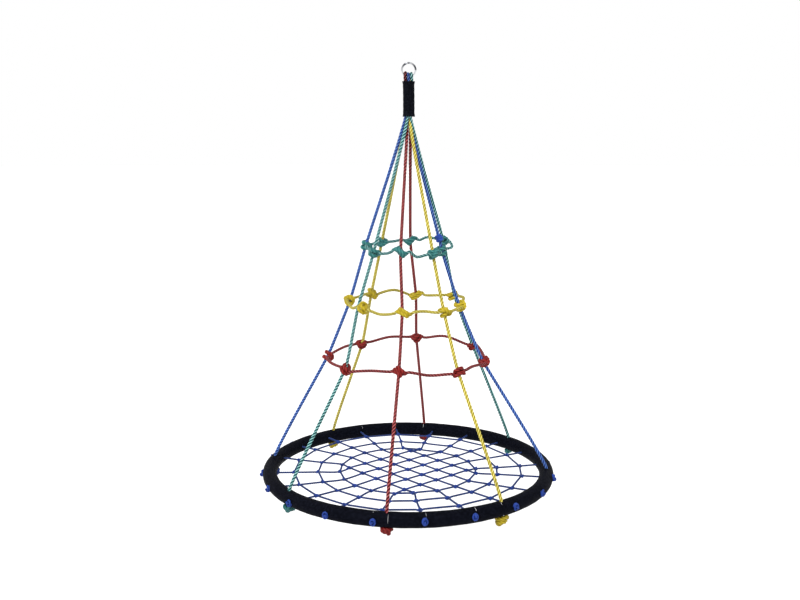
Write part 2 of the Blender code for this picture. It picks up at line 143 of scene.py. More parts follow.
# For each leg, in the order of LEGS and in millimetres: its knot's distance from the plumb line, step
# along the hoop and rise; how far the rope from there to the next leg bulges out and sags; and its
# hitch, which is facing (1 out, -1 in), mirror, tilt in degrees, stretch along the hoop, out and up the
# leg, and how far it lies from the leg along the hoop.
HOOPS = {
    "hoop_teal_top": {
        "colour": "teal", "z": -0.600,
        "knots": ((143, -6, -1), (139, -6, -10), (114, -4, -9), (148, -3, 14),
            (142, 12, 9), (146, 5, 6), (145, 0, 4), (144, 0, -10)),
        "bulge": (2, 0, 34, 4, 0, 0, 0, 2),
        "sag": (13, 0, 6, -11, -1, 0, 3, 3),
        "hitches": ((1, 1, -50, (1.35, 0.95, 0.5), 0), (1, 1, 6, (0.95, 0.95, 1.0), 0),
            (-1, 1, 10, (0.8, 0.9, 0.9), 0), (1, 1, -8, (0.8, 0.9, 0.9), 0),
            (1, 1, -42, (1.25, 0.85, 0.4), 0), (-1, -1, 12, (0.9, 0.95, 0.9), 0),
            (-1, 1, -14, (1.0, 0.95, 0.9), 0), (-1, 1, -18, (0.95, 0.95, 0.85), 3)),
    },
    "hoop_yellow_middle": {
        "colour": "yellow", "z": -0.789,
        "knots": ((193, 6, -2), (193, -2, -6), (174, -3, -7), (205, 0, 3),
            (193, -1, -3), (202, 11, 8), (201, 1, 4), (200, -8, 4)),
        "bulge": (2, 2, 24, 2, 2, 2, 8, 2),
        "sag": (-4, 6, -10, -1, -15, -2, 14, 14),
        "hitches": ((-1, 1, -32, (1.5, 0.85, 0.5), 4), (1, -1, 12, (1.05, 1.05, 1.0), 0),
            (1, 1, 8, (0.95, 1.0, 0.9), 0), (1, -1, -12, (1.15, 0.9, 0.75), 16),
            (1, 1, -31, (1.6, 0.85, 0.48), 0), (-1, 1, 10, (1.1, 1.05, 1.0), 0),
            (1, 1, -8, (0.95, 0.95, 0.9), 0), (-1, -1, -40, (1.1, 0.9, 0.75), 24)),
    },
    "hoop_red_lower": {
        "colour": "red", "z": -0.976,
        "knots": ((265, 6, 9), (267, -2, -3), (257, -3, -9), (286, -8, 2),
            (270, 6, 12), (271, 5, 0), (280, 4, -4), (263, 5, -5)),
        "bulge": (3, 4, 17, 4, 3, 4, 17, 4),
        "sag": (11, -1, 0, -21, -14, -9, 2, 1),
        "hitches": ((-1, 1, -40, (1.15, 0.95, 0.75), 0), (-1, 1, 4, (1.2, 0.95, 0.75), 3),
            (1, 1, 6, (0.9, 0.95, 0.85), 0), (1, -1, -10, (0.8, 0.85, 0.68), 7),
            (1, 1, -36, (1.0, 0.95, 0.75), 0), (1, 1, -30, (1.1, 0.9, 0.7), 0),
            (-1, 1, 6, (0.9, 0.95, 0.95), 0), (-1, -1, -40, (1.05, 0.9, 0.75), 2)),
    },
}

# Short ends and open loops left beside some hitches: hoop, leg, and points (right, back, up) from the
# hitch in millimetres.
TAILS = (
    ("hoop_yellow_middle", 6, ((10, -6, -8), (14, -9, 3), (8, -10, 13), (-3, -9, 16), (-13, -6, 10),
            (-15, -2, -1), (-11, -5, -11), (-1, -10, -15), (9, -10, -11))),
    ("hoop_yellow_middle", 3, ((-2, -4, 0), (-8, -6, 6), (6, -5, 10), (15, -3, 8), (16, -2, 1),
            (8, -4, -4), (0, -5, -4))),
    ("hoop_red_lower", 0, ((6, -8, -4), (-3, -12, 5), (-11, -11, 10), (-17, -9, 12))),
    ("hoop_red_lower", 1, ((-4, -8, 0), (7, -11, -2), (15, -10, -3), (20, -8, -3))),
    ("hoop_red_lower", 3, ((4, -8, 2), (-5, -9, 1), (-12, -8, 0), (-16, -7, 1))),
    ("hoop_teal_top", 0, ((-2, -10, 4), (5, -12, -6), (9, -11, -12), (11, -9, -16))),
)

# Rope coiled on one leg above a hitch.
COIL_LEG = 2
COIL_ABOVE = 0.043  # distance from the knot of the top hoop
COIL_TURNS = 2.4
COIL_TURN_STEPS = 10
COIL_RADIUS = 0.0078
COIL_WAVER = 0.0008
COIL_HEIGHT = 0.018

# Hitch of a wrapping rope round a core rope: (along the wrapping rope, out to the facing side, up the
# core), in millimetres for a centre line 8.5 mm from the core's. Two turns lie on the far side of the
# core and one crossing turn lies over both ends on the facing side. The second half mirrors the first.
HITCH_RADIUS = 8.5
HALF_HITCH = np.array((
    (-22.0, 3.5, -1.5), (-12.0, 7.6, -3.6), (0.0, 8.5, -4.0), (7.4, 4.3, -5.0), (8.4, -2.2, -6.4),
    (3.6, -7.8, -7.2), (-3.6, -7.8, -7.8), (-8.6, -2.2, -8.4), (-9.6, 4.0, -9.3), (-7.5, 11.4, -6.9)))
HITCH = np.vstack((HALF_HITCH, ((0.0, 14.0, 0.0),), HALF_HITCH[::-1] * (-1, 1, -1)))
HITCH_SWELL = 0.30  # a hoop's rope is this share fuller in its hitches
HITCH_WRAP = ROPE_RADIUS + HOOP_CREST * (1 + 0.6 * HITCH_SWELL)
HITCH_END_TURN = (0.1, 0.5)  # the points at each end turn only this much with a tilted hitch
HITCH_REACH = 0.020  # a hoop's rope is knotted within this distance of a hitch's middle
NET_WRAP = 0.72 * 2 * NET_RADIUS
NET_HITCH_DRAW = 0.30  # a net rope is drawn this share thinner in its hitches
NET_HITCH_REACH = 0.008
NET_KNOT_REACH = 0.017
NET_RING_REACH = 0.009
NET_GROOVE = 0.72  # depth of a net rope's grooves, as a share of its radius
NET_STRAND_POINTS = 3

# Stopper knot on a rope's end: the rope's way out of its hole, then the wraps round it. Points are
# (out of the cover, aside, across) in rope radii.
STOPPER_TURN = 540  # degrees of the wraps
STOPPER_TURN_STEP = 36  # degrees between their points
STOPPER_HEAD = ((-5.0, 0.0, 0.0), (-2.0, 0.0, 0.0), (0.6, 0.0, 0.0), (2.4, -0.1, 0.0), (3.7, 0.3, 0.1),
                (4.3, 1.3, 0.2))


# ---------- small helpers
UP = np.array((0.0, 0.0, 1.0))


def unit(vector):
    return vector / np.linalg.norm(vector)


def around(radius, azimuth_deg, z):
    angle = math.radians(azimuth_deg)
    return np.array((radius * math.sin(angle), -radius * math.cos(angle), z))


def turned(first, second, angle):
    """Two coordinates after a turn in their plane."""
    return first * np.cos(angle) - second * np.sin(angle), first * np.sin(angle) + second * np.cos(angle)


def between(t, start, end, first, last):
    """Value at t on the straight line from first at start to last at end."""
    return (end - t) / (end - start) * first + (t - start) / (end - start) * last


def curve_through(points, spacing, closed=False):
    """Centripetal Catmull-Rom curve through the points, sampled at equal distances."""
    points = np.asarray(points, float)
    if closed:
        padded = np.vstack((points[-1:], points, points[:2]))
    else:
        padded = np.vstack((2 * points[:1] - points[1:2], points, 2 * points[-1:] - points[-2:-1]))
    dense = []
    for p0, p1, p2, p3 in zip(padded, padded[1:], padded[2:], padded[3:]):
        times = [0.0]
        for start, end in ((p0, p1), (p1, p2), (p2, p3)):
            times.append(times[-1] + math.sqrt(np.linalg.norm(end - start)) + 1e-9)
        t0, t1, t2, t3 = times
        samples = max(4, int(np.linalg.norm(p2 - p1) / spacing * 2))
        t = (t1 + (t2 - t1) * np.arange(samples) / samples)[:, None]
        a1 = between(t, t0, t1, p0, p1)
        a2 = between(t, t1, t2, p1, p2)
        a3 = between(t, t2, t3, p2, p3)
        dense.append(between(t, t1, t2, between(t, t0, t2, a1, a2), between(t, t1, t3, a2, a3)))
    dense = np.vstack(dense + [points[:1] if closed else points[-1:]])
    lengths = np.concatenate(((0.0,), np.cumsum(np.linalg.norm(np.diff(dense, axis=0), axis=1))))
    count = max(8, int(round(lengths[-1] / spacing)))
    stations = np.linspace(0.0, lengths[-1], count + 1)
    sampled = np.stack([np.interp(stations, lengths, dense[:, axis]) for axis in range(3)], axis=1)
    return (sampled[:-1] if closed else sampled), lengths[-1]


def transported_sides(points, closed):
    """Unit vectors across the curve that turn with it as little as possible, its directions, and the
    angle by which a closed curve's last one is off the first."""
    if closed:
        ahead = np.roll(points, -1, axis=0) - np.roll(points, 1, axis=0)
    else:
        ahead = np.gradient(points, axis=0)
    directions = ahead / np.linalg.norm(ahead, axis=1, keepdims=True)
    tangents = [Vector(row) for row in directions]
    start = Vector((0, 0, 1) if abs(tangents[0].z) < 0.8 else (1, 0, 0))
    side = (start - tangents[0] * start.dot(tangents[0])).normalized()
    sides = []
    for tangent in tangents:
        side = (side - tangent * side.dot(tangent)).normalized()
        sides.append(side.copy())
    turn = 0.0
    if closed:
        back = (side - tangents[0] * side.dot(tangents[0])).normalized()
        turn = math.atan2(tangents[0].dot(sides[0].cross(back)), sides[0].dot(back))
    return np.array(sides), directions, turn


class RopeMesh:
    """Collects ropes into one mesh, with a UV map in metres and the attributes crest and knotted."""

    def __init__(self):
        self.verts, self.faces, self.uvs, self.crest, self.knotted = [], [], [], [], []
        self.count = 0

    def add(self, points, length, radius, lay, closed=False, strand_points=5, knotted=None,
            groove=0.6, radii=None, phase=0.0):
        """Three-strand right-hand laid rope along evenly spaced points."""
        sides, directions, turn = transported_sides(points, closed)
        across = np.cross(directions, sides)
        rings = len(points)
        ring_size = 3 * strand_points
        step = length / (rings if closed else rings - 1)
        twist = math.tau / lay
        shift = 0
        if closed:
            thirds = round((twist * length + turn) / (math.tau / 3))
            twist = (thirds * math.tau / 3 - turn) / length
            shift = thirds * strand_points % ring_size
        offsets = np.tile(np.arange(strand_points) / strand_points * 120 - 60, 3)
        shape = groove + (1 - groove) * np.sqrt(np.maximum(0.0, np.cos(np.radians(1.5 * offsets))))
        crest = 1 - np.abs(offsets) / 60
        base = np.arange(ring_size) / ring_size * math.tau
        angles = (base + twist * step * np.arange(rings)[:, None] + phase)[:, :, None]
        scale = np.ones(rings) if radii is None else radii
        reach = (radius * scale[:, None] * shape)[:, :, None]
        body = points[:, None] + reach * (np.cos(angles) * sides[:, None] + np.sin(angles) * across[:, None])
        start = self.count
        self.verts.append(body.reshape(-1, 3))
        self.crest.append(np.tile(crest, rings))
        knotted = np.zeros(rings) if knotted is None else knotted
        self.knotted.append(np.repeat(knotted, ring_size))
        self.count += rings * ring_size
        for ring in range(rings if closed else rings - 1):
            jump = shift if ring == rings - 1 else 0
            here = start + ring * ring_size
            there = start + (ring + 1) % rings * ring_size
            v0, v1 = ring * step, (ring + 1) * step
            for spot in range(ring_size):
                after = (spot + 1) % ring_size
                self.faces.append((here + spot, here + after,
                                   there + (after + jump) % ring_size, there + (spot + jump) % ring_size))
                u0, u1 = spot / ring_size * math.tau, (spot + 1) / ring_size * math.tau
                self.uvs += [(radius * (u + twist * v), v)
                             for u, v in ((u0, v0), (u1, v0), (u1, v1), (u0, v1))]
        if not closed:
            rise = radius * CAP_RISE
            self.cap(start, ring_size, points[0] - directions[0] * rise, True, radius)
            self.cap(start + (rings - 1) * ring_size, ring_size, points[-1] + directions[-1] * rise, False,
                     radius)

    def cap(self, first, ring_size, tip, reverse, radius):
        """Close an end with a low cone."""
        self.verts.append([tip])
        self.crest.append([0.5])
        self.knotted.append([0.0])
        for spot in range(ring_size):
            pair = (first + spot, first + (spot + 1) % ring_size)
            self.faces.append((*(pair[::-1] if reverse else pair), self.count))
            self.uvs += ((0.0, 0.0), (radius, 0.0), (radius / 2, radius))
        self.count += 1

    def build(self, name, material):
        rope = mesh_object(name, np.vstack(self.verts).tolist(), self.faces, material, self.uvs)
        for attribute, values in (("crest", self.crest), ("knotted", self.knotted)):
            made = rope.data.attributes.new(attribute, "FLOAT", "POINT")
            made.data.foreach_set("value", np.concatenate(values).astype(np.float32))
        rope.data.validate()
        return rope


def add_object(name, data):
    made = bpy.data.objects.new(name, data)
    bpy.context.scene.collection.objects.link(made)
    return made


def mesh_object(name, verts, faces, material, uvs=None):
    """Smooth mesh in an object of its own. uvs gives (u, v) in metres for each corner of each face."""
    mesh = bpy.data.meshes.new(name)
    mesh.from_pydata(verts, [], faces)
    if uvs is not None:
        layer = mesh.uv_layers.new(name="UVMap")
        layer.data.foreach_set("uv", np.array(uvs, np.float32).ravel())
    mesh.materials.append(material)
    mesh.shade_smooth()
    return add_object(name, mesh)


def grid_mesh(name, points, closed_rows, closed_columns, material, uvs=None, more_faces=()):
    """Mesh over a grid of points, closed round either way, and more_faces given by their points'
    numbers. uvs gives (u, v) in metres for a grid one larger than the points' wherever it closes."""
    rows, columns, _ = points.shape
    faces, corner_uvs = [], []
    for i in range(rows if closed_rows else rows - 1):
        for j in range(columns if closed_columns else columns - 1):
            corners = ((i, j), (i + 1, j), (i + 1, j + 1), (i, j + 1))
            faces.append([a % rows * columns + b % columns for a, b in corners])
            if uvs is not None:
                corner_uvs += [uvs[a, b] for a, b in corners]
    faces += more_faces
    return mesh_object(name, points.reshape(-1, 3).tolist(), faces, material, corner_uvs or None)


def rope_piece(name, material, *route, **options):
    """Piece of one rope; the route and the options are those of RopeMesh.add."""
    rope = RopeMesh()
    rope.add(*route, **options)
    return rope.build(name, material)


def uv_grid(rows, columns, u, v, u_down_rows=True):
    """(u, v) over a grid of points that is closed both ways and is u by v metres in all."""
    down = np.arange(rows + 1)[:, None] / rows
    across = np.arange(columns + 1)[None, :] / columns
    pair = (u * down, v * across) if u_down_rows else (u * across, v * down)
    return np.stack(np.broadcast_arrays(*pair), axis=2)


def carry(piece, body, slot, *replaced):
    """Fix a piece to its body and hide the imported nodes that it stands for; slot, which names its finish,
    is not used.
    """
    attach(piece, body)
    if replaced:
        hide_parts(*replaced)


# ---------- materials
class Look:
    """A Principled material, with short ways to add nodes to it. Inputs are named as in Blender, with
    underscores for spaces, and take a number, a colour or another node's output."""

    def __init__(self, name):
        self.material = bpy.data.materials.new(name)
        self.material.use_nodes = True
        self.nodes = self.material.node_tree.nodes
        self.links = self.material.node_tree.links
        self.shader = self.nodes["Principled BSDF"]

    def put(self, socket, value):
        if isinstance(value, bpy.types.NodeSocket):
            self.links.new(value, socket)
        elif isinstance(value, tuple):
            socket.default_value = (*value, 1.0)
        else:
            socket.default_value = value

    def shade(self, **inputs):
        for name, value in inputs.items():
            self.put(self.shader.inputs[name.replace("_", " ")], value)

    def node(self, kind, **inputs):
        made = self.nodes.new("ShaderNode" + kind)
        for name, value in inputs.items():
            self.put(made.inputs[name.replace("_", " ")], value)
        return made

    def attribute(self, name):
        made = self.node("Attribute")
        made.attribute_name = name
        return made.outputs["Fac"]

    def object_space(self):
        return self.node("TexCoord").outputs["Object"]

    def uv_space(self, scale):
        source = self.node("UVMap")
        source.uv_map = "UVMap"
        mapping = self.node("Mapping", Vector=source.outputs[0])
        mapping.inputs["Scale"].default_value = scale
        return mapping.outputs[0]

    def noise(self, space, scale, detail, distortion=0.0):
        made = self.node("TexNoise", Vector=space, Scale=scale, Detail=detail, Distortion=distortion)
        return made.outputs[0]

    def remap(self, value, low, high, to_low=0.0, to_high=1.0):
        made = self.node("MapRange", Value=value, From_Min=low, From_Max=high, To_Min=to_low, To_Max=to_high)
        return made.outputs[0]

    def mix(self, factor, first, second, blend="MIX"):
        made = self.node("Mix")
        made.data_type = "RGBA"
        made.blend_type = blend
        # inputs 6 and 7 and output 2 are the node's colours
        for index, value in ((0, factor), (6, first), (7, second)):
            self.put(made.inputs[index], value)
        return made.outputs[2]

    def maths(self, operation, first, second):
        made = self.node("Math")
        made.operation = operation
        self.put(made.inputs[0], first)
        self.put(made.inputs[1], second)
        return made.outputs[0]

    def bump(self, height, distance, strength):
        made = self.node("Bump", Height=height, Distance=distance, Strength=strength)
        self.shade(Normal=made.outputs[0])


YARN_SCALE = (2600.0, 160.0, 1.0)  # yarns per metre round and along a rope
STRAND_LIT = (0.42, 0.74)  # height on a strand over which its colour takes over from the groove's painted shade
STRAND_TIP = (0.66, 0.85)  # and over which it turns to the pale painted highlight
KNOT_FRESH = 0.85  # share of the fresher colour in a knot
KNOT_LIT = 0.5  # least share of the strand's colour in the grooves of a knot, over the groove's painted shade
ROPE_ROUGHNESS = (0.35, 0.54)
NAP_SHADE = 2.2  # fluff on the cloth is this much paler than its dusty colour
RIB_SHADE = 0.25  # and the gaps between its ribs this much of its colour


def shaded(colour, shade):
    return tuple(shade * value for value in colour)


def rope_material(name, colour, pale, painted_groove_shade, in_knots):
    """Filament rope: fine yarns along it, painted shade in the grooves between strands, a pale painted
    highlight on the crests, and the fresher colour in_knots where it is knotted."""
    look = Look(name)
    crest = look.attribute("crest")
    knotted = look.attribute("knotted")
    yarn = look.noise(look.uv_space(YARN_SCALE), 1.0, 2.0)
    blotch = look.noise(look.object_space(), 34.0, 3.0)
    # a pale painted highlight on each strand's crest
    painted_crest_highlight = look.mix(look.remap(crest, *STRAND_TIP), colour, pale)
    fresh = look.mix(look.remap(knotted, 0.0, 1.0, 0.0, KNOT_FRESH), painted_crest_highlight, in_knots)
    # painted shade in the grooves, less of it in knots
    lit = look.maths("MAXIMUM", look.remap(crest, *STRAND_LIT), look.maths("MULTIPLY", knotted, KNOT_LIT))
    tone = look.remap(blotch, 0.3, 0.7, 0.78, 1.14)
    threads = look.remap(yarn, 0.3, 0.7, 0.82, 1.12)
    amount = look.maths("MULTIPLY", tone, threads)
    grey = look.node("CombineColor", Red=amount, Green=amount, Blue=amount)
    look.shade(Base_Color=look.mix(1.0, look.mix(lit, painted_groove_shade, fresh), grey.outputs[0], "MULTIPLY"),
               Roughness=look.remap(yarn, 0.0, 1.0, *ROPE_ROUGHNESS), Specular_IOR_Level=0.12)
    look.bump(yarn, 0.0004, 0.6)
    return look.material


def woven_material(name, colour, pale, thread, roughness, rib_depth, diagonal=True):
    """Closely woven cloth: thread is the spacing of its ribs in metres, and diagonal ribs run aslant."""
    look = Look(name)
    uv = look.uv_space((1.0, 1.0, 1.0))
    # one band of a wave texture takes 2 pi / 20 units at scale 1
    scale = math.tau / 20 / thread
    rib = look.node("TexWave", Vector=uv, Scale=scale * (0.7 if diagonal else 1.0), Distortion=0.6,
                    Detail=1.0)
    rib.bands_direction = "DIAGONAL" if diagonal else "Y"
    weft = look.node("TexWave", Vector=uv, Scale=scale * 0.9, Distortion=0.4)
    weft.bands_direction = "X"
    height = look.maths("MULTIPLY", rib.outputs[1], weft.outputs[1])
    space = look.object_space()
    dust = look.remap(look.noise(space, 9.0, 5.0), 0.4, 0.75)
    nap = look.remap(look.noise(space, 150.0, 4.0), 0.42, 0.66)
    dusty = look.mix(dust, colour, pale)
    wear_and_painted_reflection = look.mix(nap, dusty, shaded(pale, NAP_SHADE))
    shown = look.mix(height, shaded(colour, RIB_SHADE), wear_and_painted_reflection)
    # the gloss is very weak and bluish, or the pale studio would veil the black cloth
    look.shade(Base_Color=shown, Roughness=look.remap(height, 0.0, 1.0, roughness + 0.08, roughness - 0.06),
               Specular_IOR_Level=0.015, Specular_Tint=(0.55, 0.65, 1.0))
    look.bump(height, rib_depth, 0.8)
    return look.material


def metal_material(name, colour, roughness, scratch_scale, scratch_depth, painted_dark_reflection=None):
    """Metal with smears and fine scratches. Its last colour is a painted dark reflection, shown where the
    mesh's reflection attribute is 1.
    """
    look = Look(name)
    space = look.object_space()
    smear = look.noise(space, 90.0, 4.0)
    scratch = look.noise(space, scratch_scale, 6.0, 0.4)
    tint = look.mix(smear, colour, shaded(colour, 0.8))
    if painted_dark_reflection:
        # painted dark reflection where the attribute is 1
        tint = look.mix(look.attribute("painted_reflection"), tint, painted_dark_reflection)
    look.shade(Base_Color=tint, Metallic=1.0,
               Roughness=look.remap(smear, 0.35, 0.7, roughness, roughness + 0.14))
    look.bump(scratch, scratch_depth, 0.3)
    return look.material


def foam_material(name):
    """Pale grey foam with fine cells."""
    look = Look(name)
    cells = look.node("TexVoronoi", Vector=look.object_space(), Scale=900.0).outputs["Distance"]
    look.shade(Base_Color=look.mix(cells, (0.42, 0.43, 0.45), (0.58, 0.59, 0.61)), Roughness=0.9)
    look.bump(cells, 0.0004, 0.7)
    return look.material


def floor_material(name):
    """Pale matt floor with a faint cloud."""
    look = Look(name)
    cloud = look.node("TexNoise", Scale=3.0, Detail=4.0).outputs[0]
    look.shade(Base_Color=look.mix(cloud, (0.84, 0.84, 0.84), (0.88, 0.88, 0.88)), Roughness=0.9,
               Specular_IOR_Level=0.1)
    return look.material


# each rope's main colour, a pale painted highlight for its crests, painted shade for its grooves and the
# fresher colour in knots
ROPE_COLOURS = {
    "red": ((0.28, 0.028, 0.028), (0.50, 0.120, 0.120), (0.040, 0.002, 0.003), (0.29, 0.016, 0.012)),
    "blue": ((0.045, 0.115, 0.40), (0.12, 0.24, 0.58), (0.015, 0.042, 0.185), (0.022, 0.065, 0.42)),
    "yellow": ((0.56, 0.47, 0.038), (0.70, 0.64, 0.24), (0.300, 0.235, 0.020), (0.57, 0.42, 0.009)),
    "teal": ((0.075, 0.28, 0.27), (0.38, 0.65, 0.62), (0.008, 0.060, 0.064), (0.035, 0.21, 0.20)),
}


def rope_looks(kind, shades):
    """One material for each rope colour, with all its colours scaled by that colour's shade."""
    looks = {}
    for (name, colours), shade in zip(ROPE_COLOURS.items(), shades):
        looks[name] = rope_material(kind + " " + name, *(shaded(colour, shade) for colour in colours))
    return looks


ROPE_LOOKS = rope_looks("rope", [1.0] * 4)
# darker copies of the rope colours: painted shade on the bights
SHADED_BIGHT_LOOKS = rope_looks("bight", (0.42, 0.60, 0.60, 0.80))
# darker copies of the rope colours: painted shade on the stoppers under the frame
SHADED_STOPPER_LOOKS = rope_looks("stopper", [0.68] * 4)
# the hoops are a little darker all over
HOOP_LOOKS = rope_looks("hoop", [0.86] * 4)
NET_LOOK = rope_material("rope net blue", (0.036, 0.072, 0.255), (0.090, 0.16, 0.44),
                         (0.008, 0.015, 0.060), (0.020, 0.062, 0.37))
COVER_LOOK = woven_material("cover fabric", (0.0040, 0.0044, 0.0080), (0.0072, 0.0080, 0.0140),
                            thread=0.0021, roughness=0.55, rib_depth=0.00022)
SLEEVE_LOOK = woven_material("sleeve webbing", (0.0060, 0.0066, 0.0095), (0.0095, 0.0105, 0.015),
                             thread=0.0016, roughness=0.6, rib_depth=0.0004, diagonal=False)
# the last colour is the ring's painted dark reflection
RING_LOOK = metal_material("ring chrome", (0.70, 0.71, 0.73), roughness=0.09, scratch_scale=700.0,
                           scratch_depth=0.00002, painted_dark_reflection=(0.055, 0.06, 0.07))
TUBE_LOOK = metal_material("tube steel", (0.42, 0.43, 0.44), roughness=0.38, scratch_scale=500.0,
                           scratch_depth=0.00006)
FOAM_LOOK = foam_material("foam")


# ---------- camera, lights, floor
CAMERA_LENS = 43.63  # millimetres, on a 36 mm sensor
CAMERA_PLACE = (0.0083, -3.2442, -0.2638)
CAMERA_TURN = (90 - 9.039, -0.03, 0.649)
SUN_TURN = (38.0, -22.0, 0.0)
FLOOR_Z = -1.95  # clear of the seat, which hangs
FLOOR_RADII = (0.5, 2.0, 6.0, 20.0, 80.0)
FLOOR_SIDES = 96


def build_stage():
    scene = bpy.context.scene
    camera_data = bpy.data.cameras.new("camera")
    camera_data.sensor_width = 36.0
    camera_data.lens = CAMERA_LENS
    scene.camera = add_object("camera", camera_data)
    scene.camera.location = CAMERA_PLACE
    scene.camera.rotation_euler = [math.radians(angle) for angle in CAMERA_TURN]

    world = bpy.data.worlds.new("studio")
    world.use_nodes = True
    background = world.node_tree.nodes["Background"]
    background.inputs["Color"].default_value = (1, 1, 1, 1)
    background.inputs["Strength"].default_value = 1.0
    scene.world = world
    scene.view_settings.view_transform = "Standard"

    sun_data = bpy.data.lights.new("key", "SUN")
    sun_data.energy = 2.6
    sun_data.angle = math.radians(25)
    add_object("key", sun_data).rotation_euler = [math.radians(angle) for angle in SUN_TURN]

    look = floor_material("studio floor")
    angles = np.arange(FLOOR_SIDES) / FLOOR_SIDES * math.tau
    rows = np.array([[(r * math.cos(a), r * math.sin(a), FLOOR_Z) for a in angles] for r in FLOOR_RADII])
    floor = grid_mesh("floor", rows, False, True, look)
    floor.data.flip_normals()
    middle = mesh_object("floor_middle", rows[0].tolist(), [list(range(FLOOR_SIDES))], look)


# ---------- top ring, bights, sleeve
RING_STEPS = 160  # round the ring
WIRE_STEPS = 24  # round its bar
WELD = (118, 5.0, 0.10)  # degrees round the ring, half width in degrees, share it stands proud
PAINTED_REFLECTIONS = ((128, 34), (22, 40), (90, 7))  # painted dark reflections: degrees round the ring and half width in degrees


def build_ring():
    """Welded ring of round bar, with dark reflections painted on it at its upper left, its right and its
    top.
    """
    weld_at, weld_width, weld_height = WELD
    turns = np.arange(RING_STEPS)[:, None] / RING_STEPS * 360
    angles = np.radians(turns)
    sections = np.arange(WIRE_STEPS)[None, :] / WIRE_STEPS * math.tau
    wire = WIRE_RADIUS * (1 + weld_height * np.exp(-((turns - weld_at) / weld_width) ** 2))
    reach = RING_RADIUS + wire * np.cos(sections)
    points = np.stack((reach * np.cos(angles), wire * np.sin(sections), RING_Z + reach * np.sin(angles)),
                      axis=2)
    uvs = uv_grid(RING_STEPS, WIRE_STEPS, math.tau * RING_RADIUS, math.tau * WIRE_RADIUS)
    ring = grid_mesh("steel_ring", points, True, True, RING_LOOK, uvs)
    # painted dark reflections, strongest at the middle of each span
    painted_reflection = np.max([np.exp(-((turns - middle) / width) ** 2) for middle, width in PAINTED_REFLECTIONS], axis=0)
    wear_and_painted_reflection = ring.data.attributes.new("painted_reflection", "FLOAT", "POINT")
    wear_and_painted_reflection.data.foreach_set("value", np.repeat(painted_reflection, WIRE_STEPS).astype(np.float32))
    carry(ring, "top_ring", "ring_steel", "top_ring")


def build_bights():
    """The four ropes' middles, each an arch over the ring whose ends run down into the sleeve."""
    made = []
    for colour, top, shoulder, neck, back, (drawn_x, drawn_y) in BIGHTS:
        arch = []
        for step in range(-4, 5):
            turn = math.pi / 8 * step
            x = shoulder[0] + (top[0] - shoulder[0]) * math.cos(turn)
            z = shoulder[2] + (top[1] - shoulder[2]) * math.cos(turn)
            drawn = max(0.0, -math.sin(turn))
            arch.append(((x + drawn * drawn_x) / 1000,
                         (back + shoulder[1] * math.sin(turn) + drawn * drawn_y) / 1000, RING_Z + z / 1000))
        ends = [[((neck[0] + (drawn_x if front < 0 else 0)) / 1000, front * neck[1] / 1000, z)
                 for z in (ROPE_CUT, SLEEVE_TOP - 0.02, SLEEVE_TOP - 0.004)] for front in (-1, 1)]
        path, length = curve_through(ends[0] + arch + ends[1][::-1], BIGHT_SPACING)
        piece = rope_piece("rope_bight_" + colour, SHADED_BIGHT_LOOKS[colour], path, length, BIGHT_RADIUS,
                           HOOP_LAY, strand_points=6, phase=top[0])
        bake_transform(piece)
        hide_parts("bight_" + colour)
        made.append(piece)
    return made


SLEEVE_FLAT = (0.119, 0.113)  # round the bundle, and the sleeve's height
SLEEVE_WALL = 0.0012
SLEEVE_LEAN = 0.0006  # its top leans this far left and its mouth right
SLEEVE_LEVELS = 84
SLEEVE_SIDES = 96
HEM_SHARE = 0.062  # share of the sleeve's height that each turned hem takes


def sleeve_radius(share, angle):
    """Outer radius at a share of the sleeve's height from its top: it flares at both ends, the hems
    stand proud, and the eight ropes inside press through."""
    top_flare = 0.0016 * np.exp(-share / 0.035) + 0.0006 * (share < HEM_SHARE)
    bottom_flare = 0.0011 * np.exp(-(1 - share) / 0.04) + 0.0005 * (share > 1 - HEM_SHARE)
    wave = 0.00028 * np.sin(3 * angle + 4 * share) + 0.0002 * np.sin(11 * share * math.pi + angle)
    ropes = 0.00030 * np.cos(8 * angle + 0.6)
    return SLEEVE_RADIUS + top_flare + bottom_flare + wave + ropes


def build_sleeve():
    """Webbing tube with both hems turned over, drawn close round the ropes, with ragged edges."""
    levels = np.linspace(0, 1, SLEEVE_LEVELS)
    angles = np.arange(SLEEVE_SIDES) / SLEEVE_SIDES * math.tau
    layers = []
    for wall, shares in ((0.0, levels), (SLEEVE_WALL, levels[::-1])):
        share, angle = np.meshgrid(shares, angles, indexing="ij")
        reach = sleeve_radius(share, angle) - wall
        ragged = 0.0004 * np.sin(24 * angle) * (np.exp(-share / 0.012) - np.exp(-(1 - share) / 0.012))
        layers.append(np.stack((reach * np.cos(angle) - SLEEVE_LEAN * (1 - 2 * share),
                                reach * np.sin(angle),
                                SLEEVE_TOP + (SLEEVE_BOTTOM - SLEEVE_TOP) * share + ragged), axis=2))
    uvs = uv_grid(2 * SLEEVE_LEVELS, SLEEVE_SIDES, SLEEVE_FLAT[0], 2 * SLEEVE_FLAT[1], u_down_rows=False)
    sleeve = grid_mesh("webbing_sleeve", np.concatenate(layers), True, True, SLEEVE_LOOK, uvs)
    sleeve.data.flip_normals()
    carry(sleeve, "hanger", "sleeve_webbing", "bundle_sleeve")


# ---------- legs and hoops
def leg_azimuth(leg):
    return LEG_AZIMUTH + leg * LEG_STEP


def knot_point(hoop, leg):
    out, side, rise = (value / 1000 for value in hoop["knots"][leg])
    return around(out, leg_azimuth(leg) + math.degrees(side / out), hoop["z"] + rise)


def knot_axes(leg):
    """Centre and direction of the leg at each of its three knots."""
    inset, height = LEG_LANDING
    nodes = [around(LEG_CIRCLE, leg_azimuth(leg), SLEEVE_BOTTOM)]
    nodes += [knot_point(hoop, leg) for hoop in HOOPS.values()]
    nodes.append(around(FRAME_RADIUS - inset, leg_azimuth(leg), FRAME_Z + COVER_RADIUS + height))
    return [(nodes[i], unit(nodes[i + 1] - nodes[i - 1])) for i in (1, 2, 3)]


def squash_with_legs(piece):
    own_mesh(piece)


